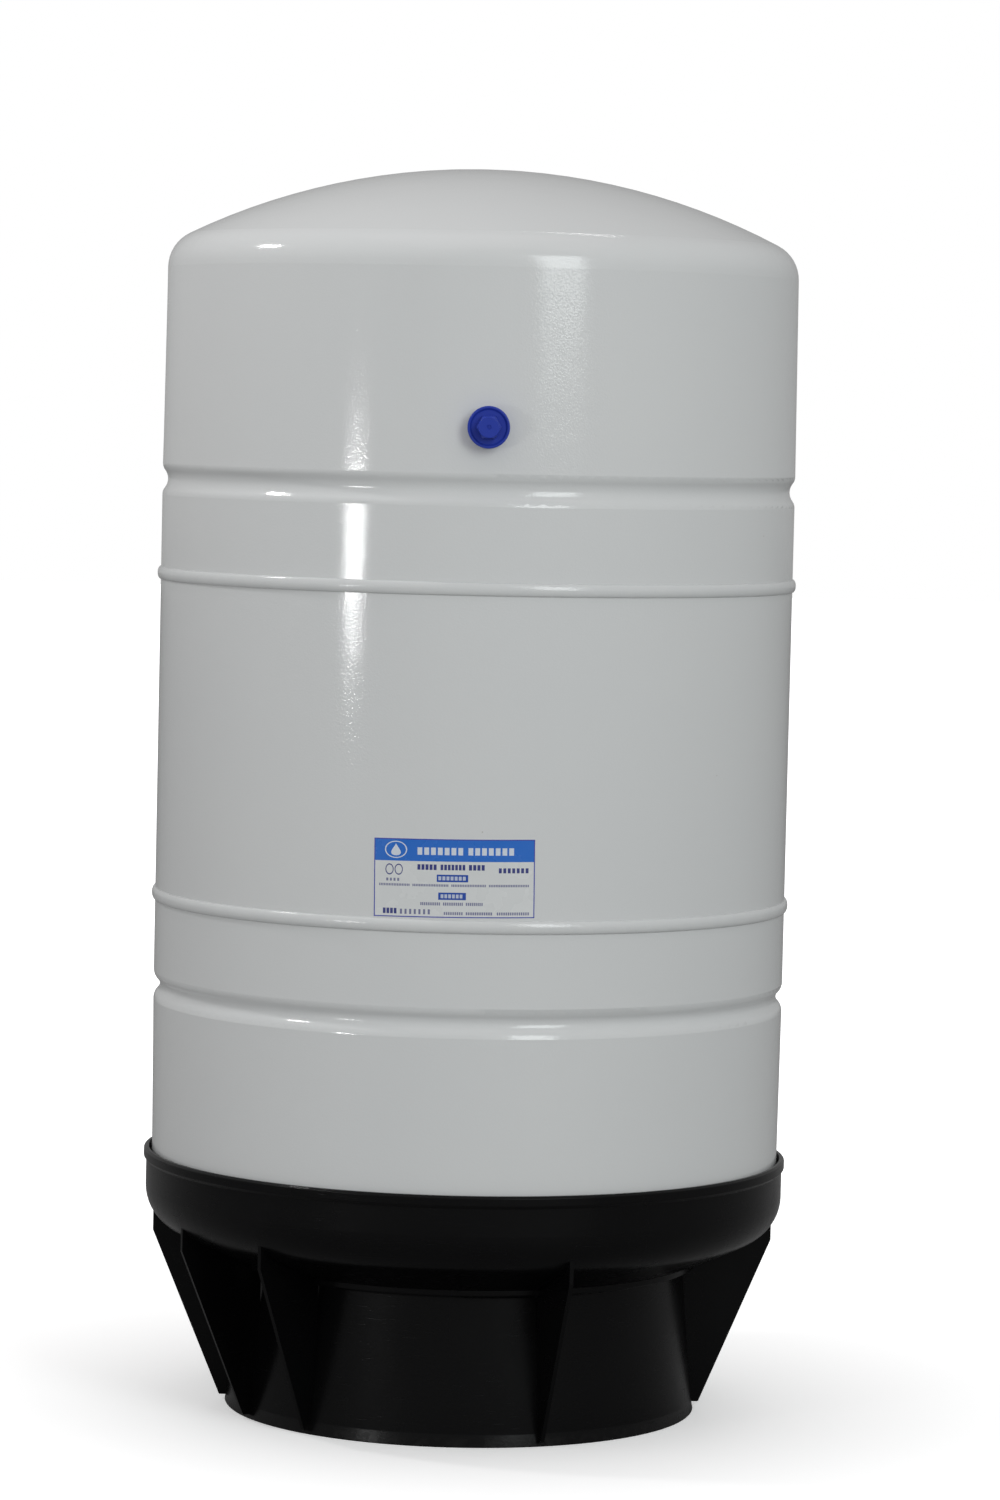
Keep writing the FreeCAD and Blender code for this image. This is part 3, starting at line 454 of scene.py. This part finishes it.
# ---------------------------------------------------------------- Air valve
# A turned brass stem with its lock nut, and a valve core with a spring-loaded steel pin. The lines of
# the turning run round the valve's own axis, which points out of the front.
FINE_TURNING = 3600.0          # lines per metre
valve_height = sum(corner.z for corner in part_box("valve_stem")) / 2
valve_axis = {"Location": (0, valve_height, 0), "Rotation": (math.pi / 2, 0, 0)}
brass = turned_metal("Turned brass", (0.62, 0.44, 0.19), (0.76, 0.58, 0.29), (0.20, 0.34), FINE_TURNING,
                     valve_axis)
finish_packed(brass, "valve_stem", "valve_lock_nut", "valve_core_body")
steel = turned_metal("Drawn steel", (0.55, 0.55, 0.54), (0.68, 0.68, 0.67), (0.2, 0.32), FINE_TURNING,
                     valve_axis)
finish_packed(steel, "valve_pin")
seal_plastic = moulded_plastic("Core seal plastic", (0.55, 0.10, 0.05), (0.66, 0.15, 0.08), (0.35, 0.5),
                               3000.0, 0.00001)[0]
finish_packed(seal_plastic, "valve_core_seal")


# ---------------------------------------------------------------- Pin spring
# Seven turns of drawn steel wire between the cup at the inner end of the valve core and the shoulder of
# the pin.
WIRE = 0.00016                 # its radius
TURNS = 7
low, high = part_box("valve_pin_spring")
coil_radius = high.x - WIRE
bpy.ops.mesh.primitive_circle_add(vertices=8, radius=WIRE, rotation=(math.pi / 2, 0, 0),
                                  location=(coil_radius, 0, 0))
spring = bpy.context.object
spring.name = "pin_spring_wire"
bpy.ops.object.transform_apply(location=True, rotation=True, scale=True)
winding = spring.modifiers.new("winding", "SCREW")
winding.screw_offset = (high.y - low.y - 2 * WIRE) / TURNS
winding.iterations = TURNS
winding.steps = winding.render_steps = 24
bpy.ops.object.modifier_apply(modifier=winding.name)
bpy.ops.object.mode_set(mode="EDIT")
bpy.ops.mesh.select_all(action="SELECT")
bpy.ops.mesh.fill_holes(sides=0)
bpy.ops.mesh.select_all(action="SELECT")
bpy.ops.mesh.normals_make_consistent(inside=False)
bpy.ops.object.mode_set(mode="OBJECT")
spring.rotation_euler.x = -math.pi / 2
spring.location = (0, low.y + WIRE, valve_height)
bpy.ops.object.transform_apply(location=True, rotation=True, scale=True)
bpy.ops.object.shade_smooth_by_angle(angle=math.radians(60))
spring.data.materials.append(steel)
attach(spring, "tank")
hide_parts("valve_pin_spring")
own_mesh(spring)
bpy.ops.object.select_all(action="DESELECT")


# ---------------------------------------------------------------- Valve cap
# A royal blue polyethylene screw cap: a dished disc, a tapered hexagon, and a gate mark in its middle.
# Its skin is smooth and half glossy.
material, tree = moulded_plastic("Blue moulding", (0.019, 0.042, 0.34), (0.026, 0.054, 0.41),
                                 (0.26, 0.38), 1800.0, 0.00002)[:2]
tree.nodes["Principled BSDF"].inputs["Specular IOR Level"].default_value = 0.22
finish_packed(material, "valve_cap")


# ---------------------------------------------------------------- Label
# Printed film stuck a little askew to the middle shell: a blue band with an oval and a title, headings
# on blue and rows of small print, all as plain blocks. Its map starts at its left edge and its foot.
low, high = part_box("name_label")
film_radius = -low.y
film_start = math.asin(low.x / film_radius)
film_turn = math.asin(high.x / film_radius) - film_start
FILM = 0.00012                 # thickness
ASKEW = math.radians(0.7)
bpy.ops.mesh.primitive_plane_add(size=1, rotation=(math.pi / 2, 0, 0))
label = bpy.context.object
label.name = "label_film"
label.scale = (FILM, high.z - low.z, 1)
label.location = (film_radius - FILM / 2, 0, (low.z + high.z) / 2)
bpy.ops.object.transform_apply(location=True, rotation=True, scale=True)
label.rotation_euler.z = film_start - math.pi / 2
bpy.ops.object.transform_apply(location=True, rotation=True, scale=True)
bpy.ops.object.mode_set(mode="EDIT")
bpy.ops.mesh.select_all(action="SELECT")
bpy.ops.mesh.spin(steps=96, angle=-film_turn, center=(0, 0, 0), axis=(0, 0, 1))
bpy.ops.mesh.select_all(action="SELECT")
bpy.ops.mesh.remove_doubles(threshold=0.000001)
bpy.ops.mesh.normals_make_consistent(inside=False)
bpy.ops.object.mode_set(mode="OBJECT")
bpy.ops.object.shade_smooth_by_angle(angle=math.radians(30))
print_map = label.data.uv_layers.active or label.data.uv_layers.new(name="print")
for loop in label.data.loops:
    corner = label.data.vertices[loop.vertex_index].co
    across = (math.atan2(corner.x, -corner.y) - film_start) / film_turn
    print_map.data[loop.index].uv = (across, (corner.z - low.z) / (high.z - low.z))
middle_turn, middle_z = film_start + film_turn / 2, (low.z + high.z) / 2
for corner in label.data.vertices:
    reach = math.hypot(corner.co.x, corner.co.y)
    along = (math.atan2(corner.co.x, -corner.co.y) - middle_turn) * film_radius
    rise = corner.co.z - middle_z
    turn = middle_turn + (along * math.cos(ASKEW) - rise * math.sin(ASKEW)) / film_radius
    height = middle_z + along * math.sin(ASKEW) + rise * math.cos(ASKEW)
    corner.co = (reach * math.sin(turn), -reach * math.cos(turn), height)


def build_printed_row():
    """Ink of a row of equal blocks inside a rectangle given by fractions of the label."""
    tree, given, result = effect(
        "Printed row",
        [("Across", "Float", 0.0), ("Down", "Float", 0.0), ("Left", "Float", 0.0),
         ("Right", "Float", 1.0), ("Top", "Float", 0.0), ("Foot", "Float", 1.0),
         ("Blocks", "Float", 1.0), ("Fill", "Float", 1.0)],
        [("Ink", "Float")])
    span = math_node(tree, "SUBTRACT", given["Right"], given["Left"])
    along = math_node(tree, "DIVIDE", math_node(tree, "SUBTRACT", given["Across"], given["Left"]), span)
    inside_row = math_node(tree, "MULTIPLY", math_node(tree, "GREATER_THAN", along, 0.0),
                           math_node(tree, "LESS_THAN", along, 1.0))
    below_top = math_node(tree, "GREATER_THAN", given["Down"], given["Top"])
    above_foot = math_node(tree, "LESS_THAN", given["Down"], given["Foot"])
    step = math_node(tree, "FRACT", math_node(tree, "MULTIPLY", along, given["Blocks"]))
    block = math_node(tree, "LESS_THAN", step, given["Fill"])
    tall = math_node(tree, "MULTIPLY", below_top, above_foot)
    in_box = math_node(tree, "MULTIPLY", inside_row, tall)
    tree.links.new(math_node(tree, "MULTIPLY", in_box, block), result["Ink"])
    return tree


printed_row = build_printed_row()
material, tree = new_material("Printed film")
print_place = node(tree, "ShaderNodeTexCoord").outputs["UV"]
split = node(tree, "ShaderNodeSeparateXYZ", None, {0: print_place}).outputs
across = split[0]
down = math_node(tree, "SUBTRACT", 1.0, split[1])


def printed(*rows):
    """Ink of several rows together, each (left, right, top, foot, blocks, fill)."""
    total = None
    for row in rows:
        values = dict(zip(("Left", "Right", "Top", "Foot", "Blocks", "Fill"), row))
        ink = use_effect(tree, printed_row, values, {"Across": across, "Down": down})["Ink"]
        total = ink if total is None else math_node(tree, "MAXIMUM", total, ink)
    return total


def oval(middle_across, middle_down, half_across, half_down, inner):
    """Ink of an oval line; inner is how far in the line reaches, as a share of the oval."""
    a = math_node(tree, "DIVIDE", math_node(tree, "SUBTRACT", across, middle_across), half_across)
    d = math_node(tree, "DIVIDE", math_node(tree, "SUBTRACT", down, middle_down), half_down)
    reach = math_node(tree, "ADD", math_node(tree, "MULTIPLY", a, a), math_node(tree, "MULTIPLY", d, d))
    return math_node(tree, "MULTIPLY", math_node(tree, "LESS_THAN", reach, 1.0),
                     math_node(tree, "GREATER_THAN", reach, inner))


DROP_WIDEST = 0.105            # of t^3 (1 - t), near t = 3/4


def droplet(middle_across, top, height, half_across):
    """Ink of a water drop with its point up."""
    t = math_node(tree, "DIVIDE", math_node(tree, "SUBTRACT", down, top), height)
    a = math_node(tree, "DIVIDE", math_node(tree, "SUBTRACT", across, middle_across), half_across)
    cubed = math_node(tree, "MULTIPLY", math_node(tree, "MULTIPLY", t, t), t)
    wide = math_node(tree, "MULTIPLY", cubed, math_node(tree, "SUBTRACT", 1.0, t))
    squared = math_node(tree, "MULTIPLY", a, a)
    return math_node(tree, "LESS_THAN", math_node(tree, "MULTIPLY", squared, DROP_WIDEST), wide)


smudge = noise(tree, object_place(tree), 60.0, 3.0)
paper = mixed(tree, smudge, (0.68, 0.70, 0.70), (0.73, 0.745, 0.745))
band = printed((0.004, 0.996, 0.008, 0.287, 1, 1))
sheet = mixed(tree, band, paper, (0.020, 0.155, 0.60))
emblem = math_node(tree, "MAXIMUM", oval(0.14, 0.145, 0.070, 0.108, 0.80),
                   droplet(0.14, 0.065, 0.155, 0.030))
title = printed((0.275, 0.568, 0.112, 0.205, 7, 0.70), (0.588, 0.880, 0.112, 0.205, 7, 0.70))
white_ink = math_node(tree, "MAXIMUM", emblem, title)
sheet = mixed(tree, math_node(tree, "MULTIPLY", white_ink, 0.85), sheet, (0.80, 0.84, 0.86))
frame_ink = math_node(tree, "SUBTRACT", printed((0.002, 0.998, 0.004, 0.996, 1, 1)),
                      printed((0.0085, 0.9915, 0.017, 0.983, 1, 1)))
sheet = mixed(tree, frame_ink, sheet, (0.055, 0.07, 0.40))
headings = printed((0.395, 0.588, 0.452, 0.545, 1, 1), (0.405, 0.575, 0.678, 0.770, 1, 1))
sheet = mixed(tree, headings, sheet, (0.018, 0.075, 0.40))
heading_blocks = printed((0.405, 0.580, 0.474, 0.523, 7, 0.72), (0.420, 0.560, 0.700, 0.748, 6, 0.72))
sheet = mixed(tree, math_node(tree, "MULTIPLY", heading_blocks, 0.75), sheet, (0.70, 0.75, 0.80))
marks = math_node(tree, "MAXIMUM", oval(0.100, 0.395, 0.026, 0.070, 0.62),
                  oval(0.158, 0.395, 0.026, 0.070, 0.62))
large_print = printed((0.275, 0.400, 0.325, 0.395, 5, 0.74), (0.418, 0.575, 0.325, 0.395, 7, 0.74),
                      (0.592, 0.695, 0.325, 0.395, 4, 0.74), (0.775, 0.968, 0.365, 0.428, 7, 0.66),
                      (0.060, 0.152, 0.885, 0.955, 4, 0.76))
small_print = printed((0.080, 0.172, 0.505, 0.542, 4, 0.55), (0.035, 0.230, 0.574, 0.604, 19, 0.68),
                      (0.245, 0.470, 0.574, 0.604, 22, 0.68), (0.485, 0.700, 0.574, 0.604, 21, 0.68),
                      (0.715, 0.965, 0.574, 0.604, 24, 0.68), (0.295, 0.420, 0.803, 0.842, 11, 0.66),
                      (0.435, 0.560, 0.803, 0.842, 11, 0.66), (0.575, 0.682, 0.803, 0.842, 9, 0.66),
                      (0.168, 0.370, 0.893, 0.957, 7, 0.45), (0.440, 0.560, 0.923, 0.960, 9, 0.66),
                      (0.575, 0.740, 0.923, 0.960, 12, 0.70), (0.765, 0.968, 0.923, 0.960, 15, 0.66))
sheet = mixed(tree, math_node(tree, "MAXIMUM", marks, large_print), sheet, (0.045, 0.055, 0.22))
sheet = mixed(tree, math_node(tree, "MULTIPLY", small_print, 0.8), sheet, (0.05, 0.06, 0.22))
into_shader(tree, "Base Color", sheet)
into_shader(tree, "Roughness", ranged(tree, smudge, 0.3, 0.7, 0.20, 0.32))
bumped(tree, noise(tree, object_place(tree), 90.0, 2.0), 0.00004)
label.data.materials.append(material)
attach(label, "tank")
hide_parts("name_label")
bpy.ops.object.select_all(action="DESELECT")


# ---------------------------------------------------------------- Base stand
# One gloss black polypropylene moulding: rim, cup, drum with a flared foot, collar and radial ribs.
# Standing on a floor has scuffed and dusted the lowest few millimetres.
WEAR_TOP, WEAR_FOOT = 0.007, 0.0005    # heights between which the wear sets in
material, tree = moulded_plastic("Gloss black moulding", (0.0018, 0.0018, 0.002),
                                 (0.003, 0.003, 0.0032), (0.20, 0.32), 600.0, 0.00004)[:2]
shader = tree.nodes["Principled BSDF"]
shader.inputs["Specular IOR Level"].default_value = 0.12
place = object_place(tree)
up = node(tree, "ShaderNodeSeparateXYZ", None, {0: place}).outputs[2]
worn = math_node(tree, "MULTIPLY", ranged(tree, up, WEAR_TOP, WEAR_FOOT),
                 ranged(tree, noise(tree, place, 160.0, 4.0), 0.46, 0.62))
clean = shader.inputs["Base Color"].links[0].from_socket
gloss = shader.inputs["Roughness"].links[0].from_socket
dusty = mixed(tree, math_node(tree, "MULTIPLY", worn, 0.2), clean, (0.03, 0.029, 0.028))
into_shader(tree, "Base Color", dusty)
into_shader(tree, "Roughness", math_node(tree, "MULTIPLY_ADD", worn, 0.2, gloss))
finish_packed(material, "base_stand")


# ---------------------------------------------------------------- Studio
# A pale floor that throws little light back and, to the camera only, glows with painted light that grows
# away from the tank, leaving painted shade round it; a white surround that is dimmer behind, a small
# window and a lamp on the left, a tall window on the right, and a strip and a soft light overhead.
def softbox(name, azimuth, elevation, distance, size, power, aim, colour=(1, 1, 1)):
    """An area light seen from aim at this azimuth, + to the right of the valve, and elevation."""
    data = bpy.data.lights.new(name, "AREA")
    data.shape = "RECTANGLE"
    data.size, data.size_y = size
    data.energy = power
    data.color = colour
    lamp = bpy.data.objects.new(name, data)
    bpy.context.scene.collection.objects.link(lamp)
    a, e = math.radians(azimuth), math.radians(elevation)
    out = Vector((math.sin(a) * math.cos(e), -math.cos(a) * math.cos(e), math.sin(e)))
    lamp.location = Vector(aim) + out * distance
    lamp.rotation_euler = out.to_track_quat("Z", "Y").to_euler()


SHADE_NEAR, SHADE_FAR = 0.15, 1.2      # from the tank's axis, where the floor is darkest and white
bpy.ops.mesh.primitive_plane_add(size=30, location=(0, 0, 0))
floor = bpy.context.object
floor.name = "floor"
material, tree = new_material("Pale floor")
shader = tree.nodes["Principled BSDF"]
shader.inputs["Roughness"].default_value = 0.7
shader.inputs["Emission Color"].default_value = (1, 1, 1, 1)
seen = node(tree, "ShaderNodeLightPath").outputs["Is Camera Ray"]
into_shader(tree, "Base Color", mixed(tree, seen, (0.34, 0.34, 0.34), (0.90, 0.90, 0.90)))
far = node(tree, "ShaderNodeVectorMath", {"operation": "LENGTH"}, {0: object_place(tree)}).outputs["Value"]
# Painted light: the floor glows for the camera, weakest near the tank as painted shade and full white far
# out.
painted_floor_glow = ranged(tree, far, SHADE_NEAR, SHADE_FAR, 0.35, 1.0)
into_shader(tree, "Emission Strength", math_node(tree, "MULTIPLY", painted_floor_glow, seen))
floor.data.materials.append(material)

softbox("left_window", -46.2, 0, 2.0, (0.20, 0.13), 3.4, (-0.074, -0.19, 0.52))
softbox("left_top_lamp", -101, 36, 0.8, (0.075, 0.055), 1.9, (-0.14, -0.145, 0.747))
softbox("right_window", 27, 17, 3.0, (0.88, 1.8), 27, (0.05, -0.19, 0.80), (0.95, 1, 1))
softbox("ceiling_strip", 169, 56, 3.0, (1.0, 0.04), 1.6, (0.04, -0.19, 0.755))
softbox("overhead", 10, 78, 2.6, (2.4, 2.4), 4.5, (0, 0, 0.6), (1, 0.82, 0.86))

world = bpy.data.worlds.new("surround")
bpy.context.scene.world = world
world.use_nodes = True
sky = world.node_tree
surround = sky.nodes["Background"]
surround.inputs["Color"].default_value = (1, 1, 1, 1)
facing = node(sky, "ShaderNodeVectorMath", {"operation": "DOT_PRODUCT", 1: (0.35, 1, 0)},
              {0: node(sky, "ShaderNodeTexCoord").outputs["Generated"]}).outputs["Value"]
ray = node(sky, "ShaderNodeLightPath").outputs
behind = math_node(sky, "MULTIPLY_ADD", ray["Is Glossy Ray"], -0.17, -0.06)
soft = math_node(sky, "MULTIPLY_ADD", ranged(sky, facing, -1.0, 1.0), behind, 0.555)
level = node(sky, "ShaderNodeMix", {"B": 1.0}, {"Factor": ray["Is Camera Ray"], "A": soft})
sky.links.new(level.outputs[0], surround.inputs["Strength"])
bpy.context.scene.view_settings.view_transform = "Standard"

camera_data = bpy.data.cameras.new("camera")
camera_data.lens = 125.9
camera = bpy.data.objects.new("camera", camera_data)
bpy.context.scene.collection.objects.link(camera)
bpy.context.scene.camera = camera
CAMERA_AWAY, CAMERA_HEIGHT = 3.386, 0.648
SEEN_FROM = math.radians(-1.4)
PAN, PITCH, ROLL = math.radians(-1.695), math.radians(86.256), math.radians(1.29)
camera.location = (CAMERA_AWAY * math.sin(SEEN_FROM), -CAMERA_AWAY * math.cos(SEEN_FROM), CAMERA_HEIGHT)
turned = Matrix.Rotation(PAN, 4, "Z") @ Matrix.Rotation(PITCH, 4, "X")
camera.rotation_euler = (turned @ Matrix.Rotation(ROLL, 4, "Z")).to_euler()
